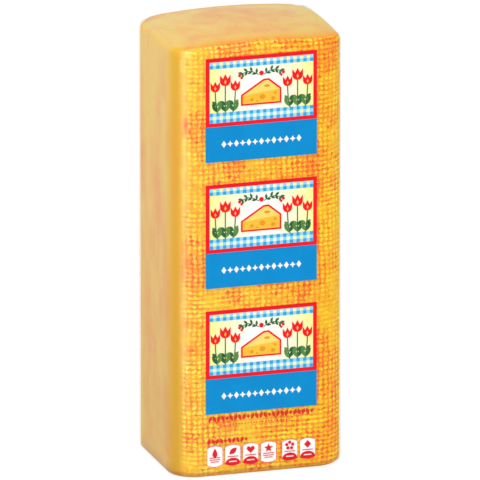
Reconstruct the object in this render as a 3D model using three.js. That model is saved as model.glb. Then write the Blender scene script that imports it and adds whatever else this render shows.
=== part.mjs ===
// Muenster cheese: a tall block with rounded corners, a crowned top and a flat foot, sealed in
// clear film. Three printed panels and a row of six small tabs lie on the film of its front.
// Millimetres, +Z up. The origin is the middle of the foot, and the front looks along -Y.

import * as THREE from "three";
import { LoftGeometry } from "three/addons/geometries/LoftGeometry.js";

// Driving dimensions
const LOAF = {
  width: 111,
  depth: 86,
  height: 277.6, // at the middle of the crowned top
  cornerRadius: 18, // of the four upright edges
  edgeRadius: 4.1, // of the edges round the top and the foot
  fallAcross: 3.7, // how far the top falls from its middle to its left and right edges
  fallDeep: 2.1, // and to its front and back edges
};

const PANEL = {
  width: 71.1,
  centreX: 0.34,
  lowest: 40.65, // foot of the lowest panel above the floor
  pitch: 80.41, // from one panel to the next
  count: 3,
  bandHeight: 22.5, // the plain band under the picture
  pictureHeight: 43.5, // with its frame
  frameWidth: 2.4,
};

const TAB = {
  width: 10.2,
  height: 13.65,
  archRise: 1.3, // of the arched top and foot of each tab
  cornerRadius: 0.9,
  foot: 6.6,
  firstX: -29.48,
  pitch: 11.48,
  groups: [4, 2], // tabs on the left, then tabs on the right of the wider space
  wideSpace: 2.15, // what that space has over the others
};

const PRINT_THICKNESS = 0.3;

// How finely the curves are divided
const CORNER_STEPS = 10;
const EDGE_STEPS = 6;
const FRONT_STEPS = 8;
const SIDE_STEPS = 6;
const CROWN_SCALES = [0.86, 0.7, 0.53, 0.36, 0.18];
const ARCH_STEPS = 5;

const QUARTER = Math.PI / 2;

// Materials
const material = (color, roughness) => new THREE.MeshStandardMaterial({ color, roughness, metalness: 0 });
const filmedCheese = material("#f5a73f", 0.45);
const redPrint = material("#f01e2c", 0.4);
const creamPrint = material("#fdf9c4", 0.4);
const bluePrint = material("#1296dc", 0.4);
const whitePrint = material("#fdfbf8", 0.4);

// The loaf's outline seen from above, counter-clockwise, drawn in by inset all round. Each corner
// is an arc, and each straight run after it is divided so that the crowned top can bend over it.
function outline(inset) {
  const radius = LOAF.cornerRadius - inset;
  const centreX = LOAF.width / 2 - LOAF.cornerRadius;
  const centreY = LOAF.depth / 2 - LOAF.cornerRadius;
  const corners = [
    { x: centreX, y: -centreY, start: -QUARTER, runSteps: SIDE_STEPS },
    { x: centreX, y: centreY, start: 0, runSteps: FRONT_STEPS },
    { x: -centreX, y: centreY, start: QUARTER, runSteps: SIDE_STEPS },
    { x: -centreX, y: -centreY, start: 2 * QUARTER, runSteps: FRONT_STEPS },
  ];
  const onArc = (corner, angle) =>
    new THREE.Vector2(corner.x + radius * Math.cos(angle), corner.y + radius * Math.sin(angle));
  const points = [];
  corners.forEach((corner, i) => {
    for (let step = 0; step <= CORNER_STEPS; step++) {
      points.push(onArc(corner, corner.start + (QUARTER * step) / CORNER_STEPS));
    }
    const runStart = points.at(-1);
    const next = corners[(i + 1) % corners.length];
    const runEnd = onArc(next, next.start);
    for (let step = 1; step < corner.runSteps; step++) {
      points.push(runStart.clone().lerp(runEnd, step / corner.runSteps));
    }
  });
  return points;
}

// Height of the crowned top over a point of the plan.
function crown({ x, y }) {
  const across = (2 * x) / LOAF.width;
  const deep = (2 * y) / LOAF.depth;
  return LOAF.height - LOAF.fallAcross * across ** 2 - LOAF.fallDeep * deep ** 2;
}

// The whole block: a ring of points for each level, from the foot's face round its edge, up the
// walls, round the top edge, and in over the crown to a small cap.
function loafGeometry() {
  const radius = LOAF.edgeRadius;
  const rings = [];
  for (let step = 0; step <= EDGE_STEPS; step++) {
    const angle = (QUARTER * step) / EDGE_STEPS;
    const z = radius * (1 - Math.cos(angle));
    rings.push(outline(radius * (1 - Math.sin(angle))).map((p) => new THREE.Vector3(p.x, p.y, z)));
  }
  for (let step = EDGE_STEPS; step >= 0; step--) {
    const angle = (QUARTER * step) / EDGE_STEPS;
    const below = radius * (1 - Math.cos(angle));
    const ring = outline(radius * (1 - Math.sin(angle)));
    rings.push(ring.map((p) => new THREE.Vector3(p.x, p.y, crown(p) - below)));
  }
  const rim = outline(radius);
  for (const scale of CROWN_SCALES) {
    const ring = rim.map((p) => p.clone().multiplyScalar(scale));
    rings.push(ring.map((p) => new THREE.Vector3(p.x, p.y, crown(p))));
  }
  return new LoftGeometry(rings, { capStart: true, capEnd: true });
}

// A thin plate of print. Its shape is drawn across and up, and it lies on the front with its
// drawing's origin at x and z.
function printPlate(name, shape, x, z, plateMaterial) {
  const geometry = new THREE.ExtrudeGeometry(shape, {
    depth: PRINT_THICKNESS,
    bevelEnabled: false,
    curveSegments: ARCH_STEPS,
  });
  geometry.rotateX(QUARTER);
  const plate = new THREE.Mesh(geometry, plateMaterial);
  plate.name = name;
  plate.position.set(x, -LOAF.depth / 2, z);
  return plate;
}

function rectangle(left, right, foot, top, Path = THREE.Shape) {
  const path = new Path();
  path.moveTo(left, foot);
  path.lineTo(right, foot);
  path.lineTo(right, top);
  path.lineTo(left, top);
  path.closePath();
  return path;
}

// One printed panel: a framed picture field over a plain band.
function panel(number, foot) {
  const half = PANEL.width / 2;
  const bandTop = PANEL.bandHeight;
  const top = bandTop + PANEL.pictureHeight;
  const inner = [
    -half + PANEL.frameWidth,
    half - PANEL.frameWidth,
    bandTop + PANEL.frameWidth,
    top - PANEL.frameWidth,
  ];
  const frame = rectangle(-half, half, bandTop, top);
  frame.holes.push(rectangle(...inner, THREE.Path));
  const group = new THREE.Group();
  group.add(
    printPlate(`panel_band_${number}`, rectangle(-half, half, 0, bandTop), PANEL.centreX, foot, bluePrint),
    printPlate(`panel_frame_${number}`, frame, PANEL.centreX, foot, redPrint),
    printPlate(`panel_field_${number}`, rectangle(...inner), PANEL.centreX, foot, creamPrint),
  );
  return group;
}

// A tab's outline: straight sides between an arched top and an arched foot, with eased corners.
function tabShape() {
  const half = TAB.width / 2;
  const ease = TAB.cornerRadius;
  const archRadius = (half ** 2 + TAB.archRise ** 2) / (2 * TAB.archRise);
  const reach = Math.asin((half - ease) / archRadius);
  const archEnd = archRadius * (1 - Math.cos(reach)); // below the arch's crown
  const shoulder = TAB.height - TAB.archRise;
  const shape = new THREE.Shape();
  shape.moveTo(-half, TAB.archRise + ease);
  shape.lineTo(-half, shoulder - ease);
  shape.quadraticCurveTo(-half, shoulder, -half + ease, TAB.height - archEnd);
  shape.absarc(0, TAB.height - archRadius, archRadius, QUARTER + reach, QUARTER - reach, true);
  shape.quadraticCurveTo(half, shoulder, half, shoulder - ease);
  shape.lineTo(half, TAB.archRise + ease);
  shape.quadraticCurveTo(half, TAB.archRise, half - ease, archEnd);
  shape.absarc(0, archRadius, archRadius, -QUARTER + reach, -QUARTER - reach, true);
  shape.quadraticCurveTo(-half, TAB.archRise, -half, TAB.archRise + ease);
  return shape;
}

function tabs() {
  const group = new THREE.Group();
  const shape = tabShape();
  let number = 1;
  let x = TAB.firstX;
  for (const count of TAB.groups) {
    for (let i = 0; i < count; i++) {
      group.add(printPlate(`tab_${number}`, shape, x, TAB.foot, whitePrint));
      number += 1;
      x += TAB.pitch;
    }
    x += TAB.wideSpace;
  }
  return group;
}

const cheese = new THREE.Group();
cheese.name = "muenster_cheese";

const loaf = new THREE.Mesh(loafGeometry(), filmedCheese);
loaf.name = "cheese_loaf";
cheese.add(loaf);

for (let level = 0; level < PANEL.count; level++) {
  cheese.add(panel(PANEL.count - level, PANEL.lowest + level * PANEL.pitch));
}
cheese.add(tabs());

export default cheese;
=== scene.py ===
"""Looks of the muenster cheese: the dyed, cloth-marked cheese in its clear film, and the print on it."""

import math

import bpy
import numpy as np
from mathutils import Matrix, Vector, geometry, noise


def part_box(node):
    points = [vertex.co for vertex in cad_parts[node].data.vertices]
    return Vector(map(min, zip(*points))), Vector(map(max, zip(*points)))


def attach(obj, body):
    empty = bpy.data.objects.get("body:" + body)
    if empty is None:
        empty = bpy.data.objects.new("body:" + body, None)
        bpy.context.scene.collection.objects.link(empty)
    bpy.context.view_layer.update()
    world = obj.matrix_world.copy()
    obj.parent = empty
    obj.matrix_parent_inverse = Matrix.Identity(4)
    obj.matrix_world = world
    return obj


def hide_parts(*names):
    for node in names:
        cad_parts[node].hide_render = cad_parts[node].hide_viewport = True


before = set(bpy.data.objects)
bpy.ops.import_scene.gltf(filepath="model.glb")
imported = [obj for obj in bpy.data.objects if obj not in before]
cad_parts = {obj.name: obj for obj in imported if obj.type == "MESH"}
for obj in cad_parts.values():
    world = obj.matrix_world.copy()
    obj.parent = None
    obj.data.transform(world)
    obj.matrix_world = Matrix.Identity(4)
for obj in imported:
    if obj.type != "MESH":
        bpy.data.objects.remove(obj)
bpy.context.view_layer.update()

MM = 0.001
QUARTER = math.pi / 2

# Form of the loaf, in metres. Its width and depth come from the part.
LOAF_LOW, LOAF_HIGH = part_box("cheese_loaf")
WIDTH = LOAF_HIGH.x - LOAF_LOW.x
DEPTH = LOAF_HIGH.y - LOAF_LOW.y
HEIGHT = 277.6 * MM
CORNER = 18 * MM
EDGE = 4.1 * MM
FALL_ACROSS = 3.7 * MM
FALL_DEEP = 2.1 * MM
FRONT = LOAF_LOW.y

# Cloth marks pressed into the rind, and the dye of the cloth-marked faces
MARK_ACROSS = 3.37 * MM
MARK_UP = 2.94 * MM
MARK_DEPTH = 0.32 * MM
STRAY_SEED = 2  # without one, the threads would stray differently in each run
# How far round the left and right corner of a broad face the marks fade out, and the power by which
# its dye holds before it fades
MARK_FADES = ((math.radians(36), math.radians(52)), (math.radians(58), math.radians(80)))
DYE_POWERS = (1.0, 3.4)
TOP_FADE = (math.radians(70), math.radians(92))  # and how far over the top edge
FOOT_FADE = (math.radians(30), math.radians(70))
FOOT_SHADE_REACH = (0.4 * MM, 6 * MM)  # heights between which the shade painted along the foot fades out
DEEPENED_SHADE_FROM = (-40 * MM, 50 * MM)  # painted shade: the front's colour deepens from left to right, as the gloss from the left fades
SIDE_REACH = (30 * MM, 52 * MM)  # where the pale faces start to be near their edges
FACE_REACH = (22 * MM, 40 * MM)
TOP_REACH = (170 * MM, 264 * MM)
# heights between which the painted shade on the pale faces grows towards the foot
LOW_SHADE_REACH = (170 * MM, 20 * MM)
RIM_BAND = (math.radians(25), math.radians(85))  # where dye has pooled along the top edge
TOP_TINT = 0.26  # dye left on the top just behind its front edge
TOP_TINT_REACH = 20 * MM
RIM_REACH = 9 * MM  # how far behind the edge the rim's dye reaches
GROOVE_SHADOW_SHARE = (130 * MM, 30 * MM, 0.04, 0.2)  # the share of crossings with a painted brown shadow, by height
LAID_FLAT = (75 * MM, 25 * MM, 0.0, -0.12)  # near the foot the threads across are the clearer ones
UPPER_RED = (260 * MM, 276 * MM, 0.0, 0.1)  # dye has gathered under the top edge
EDGE_SHADED = (45 * MM, 56 * MM)  # painted shade: the front darkens again round the right corner
PAINTED_HIGHLIGHT_ACROSS = (-22 * MM, -44 * MM)  # painted highlight: the front is yellower, and less red, up its left edge
PAINTED_HIGHLIGHT_UP = (215 * MM, 262 * MM)
TOP_SHEEN_REACH = (-35 * MM, 38 * MM)  # between which the top turns paler and less orange towards its back, a painted sheen

# Where red dye has gathered on the front: across, height and reach in millimetres. The back has the
# same patches turned upside down.
RED_PATCHES = (
    (-40, 224, 11), (-41, 136, 18), (-16, 198, 8), (33, 195, 8), (41, 178, 12), (44, 262, 12),
    (-18, 115, 7), (27, 114, 6), (43, 60, 19), (45, 22, 10), (-24, 33, 9), (-7, 9, 9), (-14, 273, 8),
)

# The cheese and the film, measured from the solid's surface. The film lies on the broad faces and
# stands off the others by its slack. It is hazier where it bends round the upright corners, and has
# a faint veil along the back of the top.
CHEESE_LIFT = -0.02 * MM
FILM_LIFT = 0.08 * MM
FILM_SLACK = 0.6 * MM
SLACK_TURN = (math.radians(12), math.radians(58))
BENT_TURN = (math.radians(42), math.radians(64), math.radians(76), QUARTER)
VEIL_SIDE = (-0.2, 0.5)  # how far a column faces the back where the veil starts and where it is full
VEIL_LEAN = (math.radians(62), math.radians(80))
VEIL_REACH = (0.2 * MM, 2.6 * MM)
FILM_GLOSS = (0.66, 0.67, 0.69, 1.0)
FILM_ROUGHNESS = 0.2
CLEAR_SHARE = 0.017  # how much of the film is gloss where it is clearest
GRAZING_SHARE = 0.4  # how much more at grazing angles
BENT_HAZE = (0.71, 0.88, 0.0, 0.76)  # and how much round the corners, as they turn away
VEIL_HAZE = 0.26

# Print, whose drawings are laid in layers, each a step above the one under it
PANELS = (1, 2, 3)
TABS = (1, 2, 3, 4, 5, 6)
PRINT_STEP = 0.05 * MM
PRINT_SUNK = 0.02 * MM
FILM_FRONT = FRONT - FILM_LIFT
FIELD_HALF = (33.15, 19.35)  # half the width and height of a panel's picture, in millimetres
FIELD_FADE = 34 * MM  # over which a panel's picture turns from white to yellow
CHECKS_ACROSS = 31
CHECK = 2 * FIELD_HALF[0] / CHECKS_ACROSS  # one check of the gingham
TOP_CHECKS = 2
FOOT_CHECKS = 3
TAB_RISE = 1.3  # of a tab's arched top and foot, as in the part
TAB_LINE = 0.22
LENS_RISE = 3.6  # of the red foot that some tabs have
FOOTED_TABS = (2, 3, 5, 6)

# Camera
VIEW_AZIMUTH = math.radians(-17.21)
VIEW_ELEVATION = math.radians(16.72)
LENS_MM = 1500.0
SENSOR_MM = 36.0
FRAME_SIDE = 0.29457  # what the picture's side spans at the loaf
AIM = Vector((0.00004, 0, 0.13709))

# Studio
FLOOR_HALF = 6
FLOOR_GLOW = 0.84
WORLD_GLOW = 0.645


def place_camera():
    """A very long lens, so that the loaf is drawn nearly without perspective."""
    distance = FRAME_SIDE * LENS_MM / SENSOR_MM
    back = Vector((
        math.sin(VIEW_AZIMUTH) * math.cos(VIEW_ELEVATION),
        -math.cos(VIEW_AZIMUTH) * math.cos(VIEW_ELEVATION),
        math.sin(VIEW_ELEVATION),
    ))
    data = bpy.data.cameras.new("camera")
    data.lens = LENS_MM
    data.sensor_width = SENSOR_MM
    data.clip_start = 0.1
    data.clip_end = 100
    camera = bpy.data.objects.new("camera", data)
    camera.location = AIM + back * distance
    camera.rotation_euler = (-back).to_track_quat("-Z", "Y").to_euler()
    bpy.context.scene.collection.objects.link(camera)
    bpy.context.scene.camera = camera


# Shader helpers


def linear(r, g, b):
    """A colour given as 0 to 255 screen numbers, as the linear one that shaders take."""
    def one(v):
        v /= 255
        return v / 12.92 if v <= 0.04045 else ((v + 0.055) / 1.055) ** 2.4
    return (one(r), one(g), one(b), 1.0)


# Colours of the cheese

PIP_YELLOW = linear(255, 236, 60)
PIP_ORANGE = linear(252, 216, 55)
PIP_PALE = linear(255, 238, 112)
WORN_YELLOW = linear(251, 212, 54)
WORN_ORANGE = linear(249, 172, 48)
GROOVE_LIGHT = linear(250, 167, 48)
GROOVE_DEEP = linear(246, 133, 43)
RED_DYE = linear(248, 78, 48)
RIM_DYE = linear(248, 112, 50)
GROOVE_SHADOW_BROWN = linear(206, 132, 46)
GOLDEN = linear(225, 166, 50)
PALE_PINK = linear(223, 159, 94)
PALE_YELLOW = linear(224, 187, 100)
PALE_LIGHT = linear(229, 184, 116)
TOP_FLUSH = linear(232, 150, 84)

# What those colours are multiplied by in some places
PALE_LOW_SHADE = (0.93, 0.97, 0.84, 1.0)  # the pale faces, near the foot: painted shade
TOP_FRONT = (0.97, 1.01, 1.04, 1.0)  # the top, at its front
TOP_BACK_SHEEN = (0.93, 1.11, 1.5, 1.0)  # and at its back: painted sheen
PAINTED_HIGHLIGHT_TINT = (0.98, 1.06, 0.97, 1.0)  # the front, up its left edge: painted highlight
DEEPENED_SHADE = (0.99, 0.94, 0.36, 1.0)  # at its right end: painted shade
CORNER_SHADE = (0.84, 0.84, 0.55, 1.0)  # and round its right corner: painted shade
FOOT_SHADE = (0.52, 0.38, 0.62, 1.0)  # everything, along the foot: painted shade


class Tree:
    """A short way to write a material's nodes. A value is a number, a colour or a socket."""

    def __init__(self, name):
        self.material = bpy.data.materials.new(name)
        self.material.use_nodes = True
        self.nodes = self.material.node_tree.nodes
        self.links = self.material.node_tree.links
        self.nodes.clear()
        self.place = self.nodes.new("ShaderNodeTexCoord").outputs["Object"]

    def put(self, socket, value):
        if isinstance(value, bpy.types.NodeSocket):
            self.links.new(value, socket)
        else:
            socket.default_value = value

    def math(self, operation, a, b=0.0, c=0.0, clamp=False):
        node = self.nodes.new("ShaderNodeMath")
        node.operation = operation
        node.use_clamp = clamp
        for socket, value in zip(node.inputs, (a, b, c)):
            self.put(socket, value)
        return node.outputs[0]

    def plus(self, a, b):
        return self.math("ADD", a, b)

    def minus(self, a, b):
        return self.math("SUBTRACT", a, b)

    def times(self, a, b):
        return self.math("MULTIPLY", a, b)

    def scaled(self, value, by, added):
        return self.math("MULTIPLY_ADD", value, by, added)

    def length(self, a, b):
        return self.math("SQRT", self.plus(self.math("POWER", a, 2.0), self.math("POWER", b, 2.0)))

    def ramp(self, value, low, high, out_low=0.0, out_high=1.0):
        """Smoothly from out_low to out_high as value goes from low to high."""
        node = self.nodes.new("ShaderNodeMapRange")
        node.interpolation_type = "SMOOTHSTEP"
        for socket, given in zip(node.inputs, (value, low, high, out_low, out_high)):
            self.put(socket, given)
        return node.outputs[0]

    def mix(self, factor, a, b, blend="MIX"):
        node = self.nodes.new("ShaderNodeMix")
        node.data_type = "RGBA"
        node.blend_type = blend
        self.put(node.inputs[0], factor)
        self.put(node.inputs[6], a)
        self.put(node.inputs[7], b)
        return node.outputs[2]

    def noise(self, scale, detail=2.0, roughness=0.5, stretch=None, over=None, output="Fac"):
        """Noise over the object's own space, or over the vector given, which is multiplied by stretch."""
        node = self.nodes.new("ShaderNodeTexNoise")
        vector = self.place if over is None else over
        if stretch:
            vector = self.stretched(vector, stretch)
        self.links.new(vector, node.inputs["Vector"])
        node.inputs["Scale"].default_value = scale
        node.inputs["Detail"].default_value = detail
        node.inputs["Roughness"].default_value = roughness
        return node.outputs[output]

    def chance(self, cell):
        """A random number from 0 to 1 for each cell."""
        node = self.nodes.new("ShaderNodeTexWhiteNoise")
        self.links.new(cell, node.inputs["Vector"])
        return node.outputs["Value"]

    def vector(self, x, y, z):
        node = self.nodes.new("ShaderNodeCombineXYZ")
        for socket, value in zip(node.inputs, (x, y, z)):
            self.put(socket, value)
        return node.outputs[0]

    def parts(self, vector):
        node = self.nodes.new("ShaderNodeSeparateXYZ")
        self.links.new(vector, node.inputs[0])
        return node.outputs

    def stretched(self, vector, by):
        node = self.nodes.new("ShaderNodeVectorMath")
        node.operation = "MULTIPLY"
        self.links.new(vector, node.inputs[0])
        node.inputs[1].default_value = by
        return node.outputs[0]

    def facing_up(self):
        """1 where the surface looks straight up."""
        return self.parts(self.nodes.new("ShaderNodeTexCoord").outputs["Normal"])[2]

    def attribute(self, name):
        node = self.nodes.new("ShaderNodeAttribute")
        node.attribute_name = name
        return node.outputs["Vector"]

    def bump(self, height, distance, strength=1.0):
        node = self.nodes.new("ShaderNodeBump")
        node.inputs["Strength"].default_value = strength
        node.inputs["Distance"].default_value = distance
        self.links.new(height, node.inputs["Height"])
        return node.outputs[0]

    def surface(self, **values):
        """Finishes with the Principled shader, whose sockets are named in words joined by _."""
        node = self.nodes.new("ShaderNodeBsdfPrincipled")
        for name, value in values.items():
            self.put(node.inputs[name.replace("_", " ")], value)
        self.finish(node.outputs[0])

    def finish(self, shader):
        out = self.nodes.new("ShaderNodeOutputMaterial")
        self.links.new(shader, out.inputs["Surface"])


# The loaf's form


def smooth(low, high, x):
    t = np.clip((x - low) / (high - low), 0, 1)
    return t * t * (3 - 2 * t)


def crown(x, y):
    """Height of the crowned top over a point of the plan."""
    return HEIGHT - FALL_ACROSS * (2 * x / WIDTH) ** 2 - FALL_DEEP * (2 * y / DEPTH) ** 2


class Column:
    """An upright line on the wall: the point that its rounding turns about, the way it faces, its
    distance along the wall from the middle of the front or back, the strength of the cloth marks
    and of the dye on it, and how far the film is off it, bent there and hazed on top."""

    def __init__(self, x, y, facing, along, turn, rows):
        self.x, self.y = x, y
        self.nx, self.ny = math.cos(facing), math.sin(facing)
        self.along = along
        self.rows = rows
        right = int(along > 0)
        self.mark = 1 - smooth(*MARK_FADES[right], turn)
        self.dye = 1 - (turn / QUARTER) ** DYE_POWERS[right]
        self.slack = smooth(*SLACK_TURN, turn)
        self.bent = smooth(*BENT_TURN[:2], turn) * (1 - smooth(*BENT_TURN[2:], turn))
        self.veil = smooth(*VEIL_SIDE, self.ny)

    def at(self, inset):
        reach = CORNER - inset
        return self.x + self.nx * reach, self.y + self.ny * reach


def columns(front_step, back_step, coarse_step, front_rows, back_rows, side_rows):
    """The columns round the loaf, counter-clockwise from the middle of the front. A broad face's
    columns are fine as far as its cloth marks reach round the corners."""
    half_x = WIDTH / 2 - CORNER
    half_y = DEPTH / 2 - CORNER
    arc_end = half_x + CORNER * QUARTER
    left, right = (half_x + CORNER * fade[1] for fade in MARK_FADES)
    out = []
    broad = ((-QUARTER, 1, front_step, front_rows), (QUARTER, -1, back_step, back_rows))
    for facing, sign, step, rows in broad:
        def stand(along, count):
            turn = max(abs(along) - half_x, 0) / CORNER
            x = sign * max(-half_x, min(half_x, along))
            turned = facing + math.copysign(turn, along)
            out.append(Column(x, -sign * half_y, turned, along, turn, count))

        coarse = max(2, round((arc_end - left) / coarse_step))
        for i in range(coarse):
            stand(-arc_end + (arc_end - left) * i / coarse, side_rows)
        fine = round((left + right) / step)
        for i in range(fine + 1):
            stand(-left + (left + right) * i / fine, rows)
        coarse = max(2, round((arc_end - right) / coarse_step))
        for i in range(1, coarse + 1):
            stand(right + (arc_end - right) * i / coarse, side_rows)
        side = max(2, round(2 * half_y / coarse_step))
        for i in range(1, side):
            y = sign * half_y * (2 * i / side - 1)
            along = arc_end + half_y + y * sign
            out.append(Column(sign * half_x, y, facing + QUARTER, along, QUARTER, side_rows))
    return out


class LoafMesh:
    """The loaf's closed mesh, moved out by lift, and by slack where the film stands off. With marked,
    the cloth marks are pressed in. Its points carry "weave", which counts threads across and up and
    holds the marks' strength, "dye", which holds how deeply a point is dyed and how near it is to
    the top edge's rim and to the foot, and "local", which holds the share of red dye and how far
    the film is bent round the corners and hazed along the back of the top."""

    EDGE_STEPS = 6
    CROWN_SCALES = (0.95, 0.89, 0.82, 0.73, 0.62, 0.5, 0.36, 0.22, 0.09)
    FOOT_SCALES = (0.9, 0.6, 0.2)

    def __init__(self, name, cols, lift, slack, marked):
        self.cols, self.lift, self.slack, self.marked = cols, lift, slack, marked
        self.places, self.faces, self.weave, self.dye, self.local = [], [], [], [], []
        walls = self.walls()
        self.end([line[-1] for line in walls], True)
        self.end([line[0] for line in walls], False)
        self.mesh = bpy.data.meshes.new(name)
        self.mesh.from_pydata(self.places, [], self.faces)
        for key, values in (("weave", self.weave), ("dye", self.dye), ("local", self.local)):
            layer = self.mesh.attributes.new(key, "FLOAT_VECTOR", "POINT")
            layer.data.foreach_set("vector", np.ravel(values))
        self.mesh.shade_smooth()
        self.mesh.update()

    def add(self, x, y, z, normal, across, up, mark, dye, rim, slack, bent, veil=0.0):
        """Puts a point on the form and moves it in by the cloth marks there."""
        bend = noise.noise_vector((x * 22, y * 22, z * 22)) * 0.42
        fine = noise.noise_vector((x * 75 + 9, y * 75, z * 75)) * 0.13
        u = across / MARK_ACROSS + bend.x + fine.x
        v = up / MARK_UP + bend.z + fine.z
        out = self.lift + self.slack * slack
        if self.marked and mark > 0:
            wear = 0.72 + 0.5 * noise.noise((x * 40, y * 40, z * 40 + 3))
            out -= MARK_DEPTH * wear * mark * groove(u, v)
            out += 0.12 * MM * mark * noise.noise((x * 18, y * 18, z * 18 + 7))
        x, y, z = (c + n * out for c, n in zip((x, y, z), normal))
        z = max(z, 0.0)
        self.places.append((x, y, z))
        self.weave.append((u, v, mark))
        # the third number is how strongly shade is painted along the foot
        self.dye.append((dye, rim, 1 - smooth(*FOOT_SHADE_REACH, z)))
        red = gathered_dye(across, z if y < 0 else HEIGHT - z) if mark > 0 else 0.0
        self.local.append((red, bent, veil))
        return len(self.places) - 1

    def walls(self):
        """Each column has its own number of rows, a multiple of the sides' number."""
        lines = []
        for col in self.cols:
            x, y = col.at(0)
            top = crown(x, y) - EDGE
            line = []
            for k in range(col.rows + 1):
                z = EDGE + (top - EDGE) * k / col.rows
                line.append(self.add(
                    x, y, z, (col.nx, col.ny, 0), col.along, z, col.mark, col.dye, 0.0, col.slack, col.bent,
                ))
            lines.append(line)
        side_rows = min(col.rows for col in self.cols)
        for line, other in zip(lines, lines[1:] + lines[:1]):
            a, b = (len(line) - 1) // side_rows, (len(other) - 1) // side_rows
            for k in range(side_rows):
                left = line[k * a:(k + 1) * a + 1]
                right = other[k * b:(k + 1) * b + 1]
                if a == b:
                    self.faces += [(left[m], right[m], right[m + 1], left[m + 1]) for m in range(a)]
                else:
                    self.faces.append((*right, *reversed(left)))
        return lines

    def end(self, before, upward):
        """Round the edge of the top or the foot, then in over it."""
        way = 1 if upward else -1
        for step in range(1, self.EDGE_STEPS + 1):
            lean = QUARTER * step / self.EDGE_STEPS
            inset = EDGE * (1 - math.cos(lean))
            fall = EDGE * (1 - math.sin(lean))
            held = 1 - smooth(*(TOP_FADE if upward else FOOT_FADE), lean)
            rim = smooth(*RIM_BAND, lean) if upward else 0.0
            turned = smooth(*SLACK_TURN, lean)
            here = []
            for col in self.cols:
                kept = 1 - (1 - top_tint(col)) * smooth(*TOP_FADE, lean)
                veil = col.veil * smooth(*VEIL_LEAN, lean) if upward else 0.0
                x, y = col.at(inset)
                z = crown(x, y) - fall if upward else fall
                up = crown(*col.at(0)) - EDGE + EDGE * lean if upward else EDGE - EDGE * lean
                normal = (col.nx * math.cos(lean), col.ny * math.cos(lean), way * math.sin(lean))
                here.append(self.add(
                    x, y, z, normal, col.along, up, held * col.mark, kept * col.dye, rim * col.mark,
                    max(col.slack, turned), col.bent, veil,
                ))
            before = self.ring(here, before, upward)
        for scale in self.CROWN_SCALES if upward else self.FOOT_SCALES:
            here = []
            for col in self.cols:
                x, y = (c * scale for c in col.at(EDGE))
                z = crown(x, y) if upward else 0.0
                inward = (1 - scale) * (DEPTH / 2 - EDGE)
                dye = top_tint(col) * (1 - smooth(0, TOP_TINT_REACH, inward)) * col.dye
                rim = (1 - smooth(0, RIM_REACH, inward)) * col.mark if upward else 0.0
                veil = col.veil * (1 - smooth(*VEIL_REACH, inward)) if upward else 0.0
                here.append(self.add(x, y, z, (0, 0, way), col.along, 0.0, 0.0, dye, rim, 1.0, 0.0, veil))
            before = self.ring(here, before, upward)
        self.faces.append(tuple(before if upward else reversed(before)))

    def ring(self, points, before, upward):
        for i, point in enumerate(points):
            j = (i + 1) % len(points)
            quad = (before[i], before[j], points[j], point)
            self.faces.append(quad if upward else quad[::-1])
        return points


def top_tint(col):
    return TOP_TINT if col.y < 0 else 0.0


def gathered_dye(across, height):
    """From 0 to 1, how near a point of a broad face is to a patch of red dye."""
    away = min(math.hypot(across / MM - x, height / MM - z) / reach for x, z, reach in RED_PATCHES)
    return 1 - smooth(0.35, 1.35, away)


def groove(u, v):
    """Depth, from 0 to 1, of the cloth marks: threads run up at whole u and across at whole v, and
    each passes over and under the others in turn."""
    up_thread = math.cos(math.pi * u) ** 2
    cross_thread = math.cos(math.pi * v) ** 2
    over = 0.82 + 0.18 * math.cos(math.pi * (v + round(u)))
    under = 0.82 - 0.18 * math.cos(math.pi * (u + round(v)))
    return max(up_thread ** 1.4 * over, cross_thread ** 1.4 * under)


def show(name, mesh, material):
    piece = bpy.data.objects.new(name, mesh)
    bpy.context.scene.collection.objects.link(piece)
    piece.data.materials.append(material)
    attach(piece, "root")
    return piece


# Cheese and film


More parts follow.
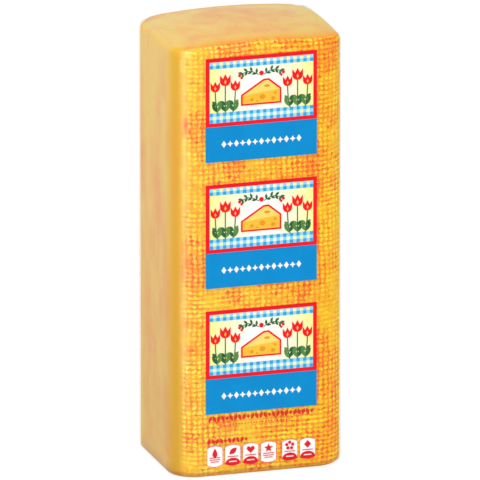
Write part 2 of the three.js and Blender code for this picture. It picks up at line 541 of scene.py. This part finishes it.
class Rind:
    """The cheese's finish: a pale rind, and on the broad faces a golden dye with the marks of the
    cloth. Threads run where u or v is whole, and between them stand the pips."""

    def __init__(self):
        t = self.t = Tree("cheese")
        self.x, self.y, self.z = t.parts(t.place)
        self.dyed, self.rim, self.foot = t.parts(t.attribute("dye"))
        self.gathered = t.parts(t.attribute("local"))[0]
        self.ragged = t.noise(1000.0, 2.0, 0.6)
        # where a highlight is painted up the front's left edge
        self.painted_highlight = t.times(t.ramp(self.x, *PAINTED_HIGHLIGHT_ACROSS), t.ramp(self.z, *PAINTED_HIGHLIGHT_UP))
        self.lay_threads()
        self.raise_pips()
        self.gather_red()

    def lay_threads(self):
        """Where a point lies among the threads, which stray a little and have ragged edges."""
        t = self.t
        u, v, self.mark = t.parts(t.attribute("weave"))
        stray_u, _, stray_v = t.parts(t.noise(330.0, 1.0, output="Color"))
        u = t.plus(u, t.scaled(stray_u, 0.9, -0.45))
        v = t.plus(v, t.scaled(stray_v, 0.8, -0.4))
        self.u = t.plus(u, t.scaled(self.ragged, 0.5, -0.25))
        self.v = t.plus(v, t.scaled(self.ragged, -0.4, 0.2))
        self.up_thread, self.cross_thread = thread(t, self.u), thread(t, self.v)
        self.column, self.row = t.math("ROUND", self.u), t.math("ROUND", self.v)
        self.between_columns, self.between_rows = t.math("FLOOR", self.u), t.math("FLOOR", self.v)

    def raise_pips(self):
        """Each pip has its own size. In some places the threads that run up are worn, and in others
        those that run across."""
        t = self.t
        way = t.plus(t.noise(40.0, 3.0, 0.6), t.ramp(self.z, *LAID_FLAT))
        up_depth = t.times(self.up_thread, t.ramp(way, 0.34, 0.56, 0.68, 1.0))
        cross_depth = t.times(self.cross_thread, t.ramp(way, 0.44, 0.66, 1.0, 0.78))
        pip = t.times(t.minus(1.0, up_depth), t.minus(1.0, cross_depth))
        self.pip_draw = t.chance(t.vector(self.between_columns, self.between_rows, 4.0))
        size = t.chance(t.vector(self.between_columns, self.between_rows, 9.0))
        self.pip = t.ramp(t.times(pip, t.scaled(size, 0.75, 0.6)), 0.09, 0.38)

    def often(self, low, high):
        """A chance that goes from low to high where the red dye is dense."""
        return self.t.scaled(self.dense, high - low, low)

    def picked(self, across, up, draw, chance):
        """1 in the cells that a draw picks with the given chance, falling off softly to 0."""
        t = self.t
        return t.ramp(t.minus(chance, t.chance(t.vector(across, up, draw))), -0.08, 0.22)

    def dot(self):
        """A round spot near each crossing, each of its own size and a little off its place."""
        t = self.t
        shift = t.scaled(t.chance(t.vector(self.column, self.row, 5.0)), 0.3, -0.15)
        size = t.scaled(t.chance(t.vector(self.column, self.row, 6.0)), 0.24, 0.26)
        aside = t.plus(t.minus(self.u, self.column), shift)
        above = t.minus(t.minus(self.v, self.row), shift)
        return t.ramp(t.math("DIVIDE", t.length(aside, above), size), 1.15, 0.45)

    def dash(self):
        """A short stroke along a thread that runs across, at each crossing."""
        t = self.t
        aside = t.times(t.minus(self.u, self.column), 2.1)
        above = t.times(t.minus(self.v, self.row), 4.6)
        return t.ramp(t.length(aside, above), 1.1, 0.5)

    def gather_red(self):
        """Red dye sits in crossings, in chains of them up the threads and in short runs across, and
        most of it in patches, where the marks are also clearest."""
        t = self.t
        patch = t.noise(27.0, 4.0, 0.68)
        patch = t.scaled(self.gathered, 0.24, t.minus(patch, 0.04))
        # less red dye under the painted highlight
        patch = t.plus(patch, t.scaled(self.painted_highlight, -0.22, t.ramp(self.z, *UPPER_RED)))
        self.dense = t.ramp(patch, 0.42, 0.62)
        spots = self.picked(self.column, self.row, 1.0, self.often(0.08, 0.74))
        spots = t.times(self.dot(), spots)
        stretch = t.math("FLOOR", t.times(self.v, 0.3))
        chain = self.picked(self.column, stretch, 2.0, self.often(0.03, 0.72))
        chain = t.times(chain, t.math("POWER", self.up_thread, 1.5))
        run = self.picked(self.between_columns, self.row, 3.0, self.often(0.03, 0.3))
        run = t.times(run, t.math("POWER", self.cross_thread, 1.5))
        lines = t.times(t.math("MAXIMUM", chain, run), 0.66)
        red = t.times(t.math("MAXIMUM", spots, lines), t.ramp(self.ragged, 0.34, 0.6, 0.35, 1.0))
        stain = t.times(t.ramp(patch, 0.52, 0.76), 0.3)
        self.red = t.math("MULTIPLY", t.math("MAXIMUM", red, stain), self.mark, clamp=True)

    def pip_colour(self, tone):
        """Some pips are paler or duller than the others, and those near the top are painted paler as a
        highlight.
        """
        t = self.t
        colour = t.mix(t.ramp(tone, 0.35, 0.65), PIP_YELLOW, PIP_ORANGE)
        # painted highlight: pips paler near the top edge
        lit = t.ramp(self.z, 0.9 * HEIGHT, 0.98 * HEIGHT, 0.0, 0.3)
        pale = t.ramp(t.plus(self.pip_draw, lit), 0.55, 1.0)
        colour = t.mix(t.times(pale, 0.6), colour, PIP_PALE)
        dull = t.times(t.ramp(self.pip_draw, 0.36, 0.1), 0.6)
        return t.mix(dull, colour, WORN_ORANGE)

    def front_colour(self):
        """The broad faces. Where their marks are worn, the colour only streaks across."""
        t = self.t
        clear = t.ramp(t.noise(34.0, 3.0, 0.6), 0.4, 0.6, 0.35, 1.0)
        clear = t.times(t.math("MAXIMUM", clear, self.dense), self.mark)
        # fainter marks under the painted highlight
        clear = t.times(clear, t.scaled(self.painted_highlight, -0.45, 1.0))
        tone = t.noise(60.0, 3.0)
        streak = t.noise(330.0, 3.0, 0.6, stretch=(0.4, 0.4, 1.4))
        worn_colour = t.mix(t.ramp(streak, 0.4, 0.56), WORN_ORANGE, WORN_YELLOW)
        groove_colour = t.mix(t.ramp(tone, 0.3, 0.7), GROOVE_LIGHT, GROOVE_DEEP)
        marked_colour = t.mix(self.pip, groove_colour, self.pip_colour(tone))
        front = t.mix(clear, worn_colour, marked_colour)
        speckle = t.noise(1300.0, 2.0, 0.7)
        front = t.mix(t.ramp(speckle, 0.5, 0.66, 0.0, 0.5), front, WORN_ORANGE)
        front = t.mix(t.ramp(speckle, 0.48, 0.34, 0.0, 0.4), front, PIP_PALE)
        front = t.mix(self.red, front, RED_DYE)
        # painted shadow: short brown strokes in some crossings, more of them low down
        groove_shadows = self.picked(self.column, self.row, 8.0, t.ramp(self.z, *GROOVE_SHADOW_SHARE))
        groove_shadows = t.times(t.times(self.dash(), groove_shadows), t.times(self.mark, 0.9))
        front = t.mix(groove_shadows, front, GROOVE_SHADOW_BROWN)
        # painted shade deepening towards the right end
        front = t.mix(t.ramp(self.x, *DEEPENED_SHADE_FROM), front, DEEPENED_SHADE, "MULTIPLY")
        # painted shade round the right corner
        return t.mix(t.ramp(self.x, *EDGE_SHADED), front, CORNER_SHADE, "MULTIPLY")

    def pale_colour(self):
        """The paler sides and top have soft upright blotches and faint streaks across them. They are
        yellower along their edges than in their middles, and the top has an orange flush."""
        t = self.t
        near_side = t.ramp(t.math("ABSOLUTE", self.x), *SIDE_REACH)
        near_face = t.ramp(t.math("ABSOLUTE", self.y), *FACE_REACH)
        near_top = t.ramp(self.z, *TOP_REACH)
        pairs = ((near_side, near_face), (near_side, near_top), (near_face, near_top))
        first, second, third = (t.math("MINIMUM", a, b) for a, b in pairs)
        edge = t.math("MAXIMUM", t.math("MAXIMUM", first, second), third)
        blotch = t.noise(56.0, 3.0, 0.6, stretch=(1.0, 1.0, 0.4))
        blotch = t.scaled(edge, 0.2, blotch)
        brushed = t.noise(160.0, 3.0, stretch=(0.5, 0.5, 1.6))
        pale = t.mix(t.ramp(blotch, 0.31, 0.73), PALE_PINK, PALE_YELLOW)
        pale = t.mix(t.ramp(brushed, 0.4, 0.75, 0.0, 0.3), pale, PALE_LIGHT)
        on_top = t.ramp(t.facing_up(), 0.3, 0.9)
        # painted sheen: the top paler and less orange towards its back
        painted_top_sheen = t.mix(t.ramp(self.y, *TOP_SHEEN_REACH), TOP_FRONT, TOP_BACK_SHEEN)
        pale = t.mix(on_top, pale, t.mix(1.0, pale, painted_top_sheen, "MULTIPLY"))
        flush = t.noise(420.0, 3.0, 0.65, stretch=(1.4, 1.0, 1.0))
        flush = t.times(t.ramp(flush, 0.46, 0.66, 0.0, 0.3), on_top)
        return t.mix(flush, pale, TOP_FLUSH)

    def pooled(self):
        """How much dye has pooled in a broken line along the rim."""
        t = self.t
        line = t.noise(1.0, 3.0, 0.7, over=t.vector(t.times(self.u, 0.6), 0.0, 7.0))
        line = t.times(t.ramp(line, 0.4, 0.62), t.math("POWER", self.rim, 3.0))
        flecks = t.noise(480.0, 3.0, 0.7, stretch=(0.6, 1.0, 1.0))
        flecks = t.times(t.ramp(flecks, 0.46, 0.62), t.times(self.rim, 0.6))
        return t.times(t.math("MAXIMUM", line, flecks), 0.7)

    def colour(self):
        """The pale faces turn into a golden band, and that into the front. The rim's dye and the shade
            painted along the foot lie over all of them."""
        t = self.t
        colour = t.mix(t.ramp(self.dyed, 0.06, 0.38), self.pale_colour(), GOLDEN)
        # painted shade: the pale faces darker towards the foot
        colour = t.mix(t.ramp(self.z, *LOW_SHADE_REACH), colour, PALE_LOW_SHADE, "MULTIPLY")
        colour = t.mix(t.ramp(self.dyed, 0.43, 0.65), colour, self.front_colour())
        # the painted highlight, only on the dyed faces
        painted_highlight = t.times(self.painted_highlight, t.ramp(self.dyed, 0.05, 0.3))
        colour = t.mix(painted_highlight, colour, PAINTED_HIGHLIGHT_TINT, "MULTIPLY")
        colour = t.mix(self.pooled(), colour, RIM_DYE)
        # painted shade along the foot
        return t.mix(self.foot, colour, FOOT_SHADE, "MULTIPLY")

    def material(self):
        t = self.t
        grain = t.noise(1400.0, 3.0, 0.6)
        soft = t.noise(300.0, 2.0)
        uneven = t.times(grain, t.times(self.mark, 0.1))
        uneven = t.scaled(soft, t.scaled(self.mark, 0.19, 0.06), uneven)
        uneven = t.plus(uneven, t.times(t.times(self.pip, self.mark), 0.6))
        t.surface(
            Base_Color=self.colour(),
            Roughness=t.ramp(soft, 0.3, 0.7, 0.42, 0.56),
            Specular_IOR_Level=0.08,
            Subsurface_Weight=0.12,
            Subsurface_Radius=(1.0, 0.5, 0.2),
            Subsurface_Scale=1.6 * MM,
            Normal=t.bump(uneven, 0.16 * MM, 0.6),
        )
        return t.material


def thread(t, count):
    """1 on a thread and 0 midway between two of them."""
    return t.math("POWER", t.math("COSINE", t.times(count, math.pi)), 2.0)


def film_material():
    """Clear film: mostly see-through, with a soft gloss that grows towards grazing angles."""
    t = Tree("film")
    u, v, mark = t.parts(t.attribute("weave"))
    ripple = t.noise(60.0, 2.0, stretch=(1.0, 1.0, 0.35))
    fine = t.noise(420.0, 2.0)
    pips = t.times(t.minus(1.0, thread(t, u)), t.minus(1.0, thread(t, v)))
    height = t.plus(ripple, t.times(fine, 0.04))
    height = t.plus(height, t.times(t.times(pips, mark), 0.35))
    gloss = t.nodes.new("ShaderNodeBsdfGlossy")
    gloss.inputs["Color"].default_value = FILM_GLOSS
    gloss.inputs["Roughness"].default_value = FILM_ROUGHNESS
    t.links.new(t.bump(height, 0.25 * MM), gloss.inputs["Normal"])
    clear = t.nodes.new("ShaderNodeBsdfTransparent")
    weight = t.nodes.new("ShaderNodeLayerWeight")
    weight.inputs["Blend"].default_value = 0.5
    facing = weight.outputs["Facing"]
    grazing = t.times(t.math("POWER", facing, 8.0), GRAZING_SHARE)
    _, bent, veil = t.parts(t.attribute("local"))
    haze = t.times(t.ramp(facing, *BENT_HAZE), bent)
    haze = t.math("MAXIMUM", haze, t.times(veil, VEIL_HAZE))
    mixed = t.nodes.new("ShaderNodeMixShader")
    t.links.new(t.plus(t.math("MAXIMUM", grazing, haze), CLEAR_SHARE), mixed.inputs[0])
    t.links.new(clear.outputs[0], mixed.inputs[1])
    t.links.new(gloss.outputs[0], mixed.inputs[2])
    t.finish(mixed.outputs[0])
    return t.material


def build_loaf():
    noise.seed_set(STRAY_SEED)
    side_rows = 48
    coarse = 3 * MM
    front_step, front_rows = ((MARK_ACROSS / 4, 8))
    back_step, back_rows = ((MARK_ACROSS / 3, 6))
    cols = columns(front_step, back_step, coarse, side_rows * front_rows, side_rows * back_rows, side_rows)
    cheese = LoafMesh("cheese", cols, CHEESE_LIFT, 0.0, True)
    cheese = show("cheese", cheese.mesh, Rind().material())
    film_cols = columns(2 * MM, 2 * MM, 2 * MM, side_rows, side_rows, side_rows)
    film = LoafMesh("film", film_cols, FILM_LIFT, FILM_SLACK, False)
    film = show("film", film.mesh, film_material())
    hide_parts("cheese_loaf")
    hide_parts("cheese_loaf")


# Print


def ink_material(name, colour, other):
    """Ink of a nearly even colour."""
    t = Tree(name)
    return finish_ink(t, t.mix(t.ramp(t.noise(60.0, 2.0), 0.3, 0.7), colour, other))


def field_material(name, centre_x, centre_z):
    """Cream ink that turns from white in its middle to yellow round its edge."""
    t = Tree(name)
    x, _, z = t.parts(t.place)
    away = t.times(t.length(t.minus(x, centre_x), t.minus(z, centre_z)), 1 / FIELD_FADE)
    colour = t.mix(t.ramp(away, 0.2, 0.75), linear(254, 254, 252), linear(254, 252, 206))
    colour = t.mix(t.ramp(away, 0.6, 1.15), colour, linear(254, 248, 138))
    return finish_ink(t, colour)


def finish_ink(t, colour):
    """A faint mottle, and a slightly uneven gloss."""
    mottle = t.noise(900.0, 3.0, 0.6)
    shade = t.ramp(mottle, 0.3, 0.7, 0.97, 1.0)
    t.surface(
        Base_Color=t.mix(1.0, colour, t.vector(shade, shade, shade), "MULTIPLY"),
        Roughness=t.ramp(mottle, 0.3, 0.7, 0.4, 0.5),
        Specular_IOR_Level=0.08,
        Normal=t.bump(t.noise(60.0, 2.0), 0.1 * MM, 0.4),
    )
    return t.material


# Each ink's slot and the two colours that it wavers between
INK_COLOURS = {
    "red": ("print_red", (248, 24, 40), (244, 20, 36)),
    "dark_red": ("print_red", (232, 34, 44), (224, 30, 42)),
    "soft_red": ("print_red", (234, 60, 46), (226, 54, 44)),
    "blue": ("print_blue", (2, 145, 213), (2, 140, 207)),
    "mid_blue": ("print_blue", (46, 172, 226), (38, 166, 222)),
    "pale_blue": ("print_blue", (158, 220, 250), (150, 214, 247)),
    "white": ("print_white", (255, 254, 253), (253, 252, 250)),
    "green": ("print_green", (44, 98, 58), (54, 110, 66)),
    "light_green": ("print_green", (98, 146, 74), (86, 136, 70)),
    "gold": ("print_gold", (252, 200, 66), (250, 192, 58)),
    "light_gold": ("print_gold", (255, 226, 120), (254, 220, 110)),
    "deep_gold": ("print_gold", (236, 162, 44), (232, 154, 40)),
}
INKS = {
    colour: (ink_material(f"ink_{colour}", linear(*one), linear(*other)), slot)
    for colour, (slot, one, other) in INK_COLOURS.items()
}


# Shapes drawn in millimetres, across and up. Each is a list of loops: an outline, then its holes.


def rectangle(left, right, foot, top):
    return [[(left, foot), (right, foot), (right, top), (left, top)]]


def oval(x, z, across, up, steps=20):
    angles = [2 * math.pi * i / steps for i in range(steps)]
    return [[(x + across * math.cos(a), z + up * math.sin(a)) for a in angles]]


def lozenge(x, z, width, height):
    return [[(x, z - height / 2), (x + width / 2, z), (x, z + height / 2), (x - width / 2, z)]]


def leaf(x, z, length, width, angle, steps=8):
    """A pointed leaf that starts at x and z and grows at angle."""
    c, s = math.cos(angle), math.sin(angle)
    edge = [(length * i / steps, width / 2 * math.sin(math.pi * i / steps)) for i in range(steps + 1)]
    outline = [(a, -b) for a, b in edge] + [(a, b) for a, b in reversed(edge[1:-1])]
    return [[(x + a * c - b * s, z + a * s + b * c) for a, b in outline]]


def ribbon(points, width):
    """A line of the given width through the points."""
    left, right = [], []
    for i, (x, z) in enumerate(points):
        (x0, z0), (x1, z1) = points[max(i - 1, 0)], points[min(i + 1, len(points) - 1)]
        run = math.hypot(x1 - x0, z1 - z0)
        nx, nz = (z0 - z1) / run * width / 2, (x1 - x0) / run * width / 2
        left.append((x + nx, z + nz))
        right.append((x - nx, z - nz))
    return [right + left[::-1]]


def tulip_head(x, z, width, height):
    """A flower head with a round foot and three points."""
    half = width / 2
    angles = [math.pi * i / 10 for i in range(11)]
    bowl = [(-half * math.cos(a), half * (1 - math.sin(a))) for a in angles]
    right = [(half, height * 0.92), (half * 0.45, height * 0.6)]
    left = [(-a, b) for a, b in reversed(right)]
    return [[(x + a, z + b) for a, b in bowl + right + [(0, height)] + left]]


def star(x, z, radius, inner, points):
    loop = []
    for i in range(2 * points):
        angle = QUARTER + math.pi * i / points
        reach = inner if i % 2 else radius
        loop.append((x + reach * math.cos(angle), z + reach * math.sin(angle)))
    return [loop]


def heart(x, z, size, steps=28):
    out = []
    for i in range(steps):
        a = 2 * math.pi * i / steps
        across = math.sin(a) ** 3
        up = (13 * math.cos(a) - 5 * math.cos(2 * a) - 2 * math.cos(3 * a) - math.cos(4 * a)) / 16
        out.append((x + size / 2 * across, z + size / 2 * up))
    return [out]


def drop(x, z, size, steps=20):
    """A drop that stands on its round end, with its middle at x and z."""
    angles = [2 * math.pi * i / steps for i in range(steps)]
    return [[(x + size * 0.36 * math.sin(a) * math.sin(a / 2), z + size / 2 * math.cos(a)) for a in angles]]


def grown(loop, by):
    """A convex outline moved out by the same distance all round."""
    out = []
    for i, (x, z) in enumerate(loop):
        (x0, z0), (x1, z1) = loop[i - 1], loop[(i + 1) % len(loop)]
        a, b = Vector((x - x0, z - z0)).normalized(), Vector((x1 - x, z1 - z)).normalized()
        outward = Vector((a.y + b.y, -a.x - b.x)).normalized()
        reach = by / max(outward.dot(Vector((a.y, -a.x))), 0.35)
        out.append((x + outward.x * reach, z + outward.y * reach))
    return out


def lay_print(name, shapes, at, base, lift, colour):
    """Lays flat closed shapes of one colour on the front, lift above the surface at base. Their
    drawing's origin is at the point at, given as x and z."""
    ink, slot = INKS[colour]
    places, faces = [], []
    front, back = base - lift, base + PRINT_SUNK
    for shape in shapes:
        loops = [loop if (area(loop) > 0) == (i == 0) else loop[::-1] for i, loop in enumerate(shape)]
        flat = [p for loop in loops for p in loop]
        start, count = len(places), len(flat)
        places += [(at[0] + x * MM, front, at[1] + z * MM) for x, z in flat]
        places += [(at[0] + x * MM, back, at[1] + z * MM) for x, z in flat]
        drawn = [[Vector((x, z, 0)) for x, z in loop] for loop in loops]
        for corners in geometry.tessellate_polygon(drawn):
            if area([flat[i] for i in corners]) < 0:
                corners = corners[::-1]
            faces.append(tuple(start + i for i in corners))
            faces.append(tuple(start + count + i for i in reversed(corners)))
        first = start
        for loop in loops:
            for i in range(len(loop)):
                a, b = first + i, first + (i + 1) % len(loop)
                faces.append((a, a + count, b + count, b))
            first += len(loop)
    mesh = bpy.data.meshes.new(name)
    mesh.from_pydata(places, [], faces)
    mesh.update()
    show(name, mesh, ink)


def area(loop):
    """Twice a flat outline's area, positive where it runs counter-clockwise."""
    return sum(x0 * z1 - x1 * z0 for (x0, z0), (x1, z1) in zip(loop, loop[1:] + loop[:1]))


def mirrored(shapes):
    """The shapes, and again with left and right changed over."""
    return shapes + [[[(-x, z) for x, z in loop] for loop in shape] for shape in shapes]


# The picture in a panel's field, drawn from the middle of the field: a cut of cheese between
# tulips, and a strip of gingham above and below


def gingham():
    """Squares for two strips of checks: the light ones of every other square, and the dark ones
    where a dark row and a dark column of the cloth cross."""
    width, height = FIELD_HALF
    light, dark = [], []
    for foot, rows in ((-height, FOOT_CHECKS), (height - TOP_CHECKS * CHECK, TOP_CHECKS)):
        for row in range(rows):
            for i in range(CHECKS_ACROSS):
                left, low = -width + i * CHECK, foot + row * CHECK
                square = rectangle(left, left + CHECK, low, low + CHECK)
                if i % 2 == 0 and row % 2 == 0:
                    dark.append(square)
                elif i % 2 == 0 or row % 2 == 0:
                    light.append(square)
    return light, dark


def cheese_cut():
    """A wedge: its lit top, its cut side, the holes in it, and its outline."""
    side = [(-12.0, -8.6), (11.6, -8.6), (11.6, -0.6), (-12.0, -3.4)]
    top = [(-12.0, -3.4), (11.6, -0.6), (4.4, 5.4), (1.6, 5.2)]
    whole = [side[0], side[1], side[2], top[2], top[3], top[0]]
    holes = [oval(-6.2, -6.2, 1.2, 1.0), oval(0.6, -4.9, 1.9, 1.6), oval(7.4, -6.3, 1.4, 1.2),
             oval(8.7, -2.9, 0.9, 0.8), oval(3.6, 1.9, 1.9, 0.8), oval(-2.8, -7.4, 0.7, 0.6)]
    return [grown(whole, 1.1)], [side], [top], holes


def tulips():
    """Three on each side, tallest in the middle: heads, petals' inner marks, stems, and the leaves
    that lean right and left."""
    heads, marks, stems, right, left = [], [], [], [], []
    middle, ground = 23.1, -12.9
    for x, foot, size in ((16.7, 0.4, 6.0), (middle, 3.8, 6.8), (29.5, 0.4, 6.0)):
        heads.append(tulip_head(x, foot, size, size * 1.12))
        marks.append(lozenge(x, foot + size * 0.38, size * 0.2, size * 0.46))
        bend = (middle - x) * 0.24
        rise = foot + 0.4 - ground
        steps = [i / 6 for i in range(7)]
        stems.append(ribbon([(x + bend * (1 - s) ** 2, ground + rise * s) for s in steps], 0.7))
        for tilt, height, length in ((60, 0.4, 6.4), (46, 4.4, 4.4)):
            right.append(leaf(x + bend * 0.7, ground + height, length, 2.3, math.radians(tilt)))
            left.append(leaf(x + bend * 0.7, ground + height, length, 2.3, math.radians(180 - tilt)))
    return mirrored(heads), mirrored(marks), mirrored(stems), mirrored(right), mirrored(left)


def sprigs():
    """Two small twigs with berries over the wedge."""
    steps = [i / 8 for i in range(9)]
    spine = [(1.6 + 11.5 * s, 9.2 + 2.6 * math.sin(math.pi * s * 0.9)) for s in steps]
    twig = ribbon(spine, 0.5)
    leaves = []
    for i, tilt in ((1, 62), (3, 40), (5, 12), (7, -18)):
        x, z = spine[i]
        leaves.append(leaf(x, z, 3.4, 1.5, math.radians(tilt + 28)))
        leaves.append(leaf(x, z, 3.2, 1.4, math.radians(tilt - 62)))
    x, z = spine[-1]
    berries = mirrored([oval(x + 0.9, z - 0.3, 1.0, 1.0, 14), oval(x - 0.4, z - 1.9, 0.8, 0.8, 14)])
    return mirrored([twig]), mirrored(leaves), berries + [oval(0, 10.2, 1.5, 1.5, 16)]


def print_panel(number):
    low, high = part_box(f"panel_field_{number}")
    middle = ((low.x + high.x) / 2, (low.z + high.z) / 2)
    light, dark = gingham()
    outline, side, top, holes = cheese_cut()
    heads, marks, stems, right, left = tulips()
    twigs, small_leaves, berries = sprigs()
    layers = (
        ("checks_pale", light, 1, "pale_blue"),
        ("checks", dark, 1, "mid_blue"),
        ("stems", stems + twigs, 1, "green"),
        ("leaves", right + small_leaves, 2, "green"),
        ("leaves_light", left, 3, "light_green"),
        ("red", [outline] + heads + berries, 3, "red"),
        ("gold", [side] + marks, 4, "gold"),
        ("gold_light", [top], 4, "light_gold"),
        ("gold_deep", holes, 5, "deep_gold"),
    )
    for name, shapes, layer, colour in layers:
        lay_print(f"panel_{number}_{name}", shapes, middle, low.y, layer * PRINT_STEP, colour)

    low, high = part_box(f"panel_band_{number}")
    row = []
    count, pitch, up = 13, 4.0, 11.1
    for i in range(count):
        x = (i - (count - 1) / 2) * pitch
        row.append(lozenge(x, up, 3.1, 4.4) if i % 2 == 0 else star(x, up, 1.95, 0.9, 4))
    at = ((low.x + high.x) / 2, low.z)
    lay_print(f"panel_{number}_ornament", row, at, low.y, PRINT_STEP, "white")


def garland(left, right, foot, height):
    """A line of small slanted leaves, with a bud in every fifth place."""
    shapes = []
    count = int((right - left) / (height * 0.66))
    for i in range(count):
        x = left + (i + 0.5) * (right - left) / count
        if i % 5 == 4:
            shapes.append(lozenge(x, foot + height / 2, height * 0.54, height * 0.7))
        else:
            lean = math.radians(68 if i % 2 == 0 else 112)
            length = height * 1.08
            start = x - length / 2 * math.cos(lean)
            shapes.append(leaf(start, foot, length, height * 0.52, lean))
    return shapes


def print_foot():
    """The two red lines of ornament under the lowest panel, and a faint dotted one."""
    at = (0.0, 0.0)
    lines = garland(-33.8, 34.2, 35.3, 4.1) + garland(-34.5, -8.0, 21.0, 3.9)
    lay_print("foot_lines", lines, at, FILM_FRONT, PRINT_STEP, "soft_red")
    dots = [oval(-19.5 + 1.9 * i, 33.2, 0.42, 0.42, 10) for i in range(21)]
    lay_print("foot_dots", dots, at, FILM_FRONT, PRINT_STEP, "dark_red")


# Tabs


def tab_outline(inset):
    """A tab's outline, drawn in by inset, from the middle of its foot."""
    low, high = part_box("tab_1")
    half = (high.x - low.x) / MM / 2 - inset
    height = (high.z - low.z) / MM
    radius = (half ** 2 + TAB_RISE ** 2) / (2 * TAB_RISE)
    reach = math.asin(half / radius)
    steps = 8
    top, foot = [], []
    for i in range(steps + 1):
        a = reach * (1 - 2 * i / steps)
        top.append((radius * math.sin(a), height - inset - radius * (1 - math.cos(a))))
        foot.append((-radius * math.sin(a), inset + radius * (1 - math.cos(a))))
    return foot + top


def lens_foot():
    """The red foot of a tab: an arch over the tab's own arched foot."""
    outline = tab_outline(0.25)
    low_arc = outline[:len(outline) // 2]
    half = low_arc[-1][0]
    angles = [math.pi * i / 10 for i in range(1, 10)]
    arch = [(half * math.cos(a), low_arc[-1][1] + LENS_RISE * math.sin(a)) for a in angles]
    return [low_arc + arch]


def flower(x, z, radius, petal, count=5):
    """Round petals in a ring."""
    angles = [2 * math.pi * i / count for i in range(count)]
    return [oval(x + radius * math.sin(a), z + radius * math.cos(a), petal, petal, 12) for a in angles]


TAB_MARKS = (
    [drop(0, 9.1, 5.8)],
    [leaf(-2.2, 7.4, 6.2, 3.3, math.radians(40))],
    [heart(0, 9.6, 5.2)],
    [star(0, 9.3, 3.0, 1.35, 5)],
    flower(0, 9.7, 2.0, 1.1),
    [lozenge(0, 9.6, 4.6, 5.0)],
)


def print_tab(number):
    low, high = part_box(f"tab_{number}")
    at = ((low.x + high.x) / 2, low.z)
    shapes = [[tab_outline(0.0), tab_outline(TAB_LINE)]] + TAB_MARKS[number - 1]
    shapes.append(rectangle(-3.4, 3.4, 5.7, 6.3))
    if number in FOOTED_TABS:
        shapes.append(lens_foot())
        lay_print(f"tab_{number}_bar", [rectangle(-2.4, 2.4, 2.5, 3.1)], at, low.y, 2 * PRINT_STEP, "white")
    else:
        shapes += [rectangle(-3.4, 3.4, 4.4, 5.0), rectangle(-2.6, 2.6, 3.1, 3.7)]
    lay_print(f"tab_{number}_print", shapes, at, low.y, PRINT_STEP, "dark_red")


def dress(name, material):
    """Gives a plate of the part its material."""
    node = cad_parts[name]
    node.data.materials.clear()
    node.data.materials.append(material)


def dress_print():
    """Gives the plates their inks, and lays the drawings on the panels and the tabs."""
    for number in PANELS:
        low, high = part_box(f"panel_field_{number}")
        middle = (low.x + high.x) / 2, (low.z + high.z) / 2
        dress(f"panel_field_{number}", field_material(f"ink_cream_{number}", *middle))
        dress(f"panel_frame_{number}", INKS["red"][0])
        dress(f"panel_band_{number}", INKS["blue"][0])
        print_panel(number)
    for number in TABS:
        dress(f"tab_{number}", INKS["white"][0])
        print_tab(number)
    print_foot()


# Studio


def build_floor():
    """A white floor that glows, so that it stays white round the loaf."""
    mesh = bpy.data.meshes.new("floor")
    corners = [(-1, -1), (1, -1), (1, 1), (-1, 1)]
    mesh.from_pydata([(x * FLOOR_HALF, y * FLOOR_HALF, 0) for x, y in corners], [], [(0, 1, 2, 3)])
    t = Tree("floor")
    t.surface(
        Base_Color=linear(150, 150, 150),
        Roughness=0.9,
        Specular_IOR_Level=0.0,
        Emission_Color=(1.0, 1.0, 1.0, 1.0),
        Emission_Strength=FLOOR_GLOW,
    )
    mesh.materials.append(t.material)
    floor = bpy.data.objects.new("floor", mesh)
    bpy.context.scene.collection.objects.link(floor)


def build_world():
    world = bpy.data.worlds.new("studio")
    bpy.context.scene.world = world
    world.use_nodes = True
    background = world.node_tree.nodes["Background"].inputs
    background["Color"].default_value = (1, 1, 1, 1)
    background["Strength"].default_value = WORLD_GLOW
    view = bpy.context.scene.view_settings
    view.view_transform = "Standard"
    view.look = "None"


def softbox(name, azimuth, elevation, distance, size, power, aim=HEIGHT / 2, gloss_only=False):
    """A lit rectangle, seen from the loaf at azimuth and elevation in degrees and turned to the
    height aim. With gloss_only it shows in glossy surfaces alone."""
    data = bpy.data.lights.new(name, "AREA")
    data.shape = "RECTANGLE"
    data.size, data.size_y = size
    data.energy = power
    light = bpy.data.objects.new(name, data)
    a, e = math.radians(azimuth), math.radians(elevation)
    way = Vector((math.sin(a) * math.cos(e), -math.cos(a) * math.cos(e), math.sin(e)))
    light.location = Vector((0, 0, aim)) + way * distance
    light.rotation_euler = (-way).to_track_quat("-Z", "Y").to_euler()
    light.visible_camera = False
    light.visible_diffuse = not gloss_only
    bpy.context.scene.collection.objects.link(light)


def build_lights():
    softbox("glint", -48.5, 0, 0.21, (0.07, 0.5), 0.8, 0.25, gloss_only=True)
    softbox("catch", -34, 13, 0.6, (0.3, 0.07), 0.9, 0.27, gloss_only=True)
    softbox("sheen", 163, 5, 0.8, (0.6, 0.2), 0.06, HEIGHT, gloss_only=True)
    softbox("side", -78, 42, 0.6, (0.5, 0.4), 0.9, 0.27)
    softbox("fill", 35, 25, 1.8, (1.2, 1.2), 2.4)
    softbox("top", -20, 78, 1.6, (1.4, 1.4), 12.2)


place_camera()
build_floor()
build_world()
build_lights()
build_loaf()
dress_print()
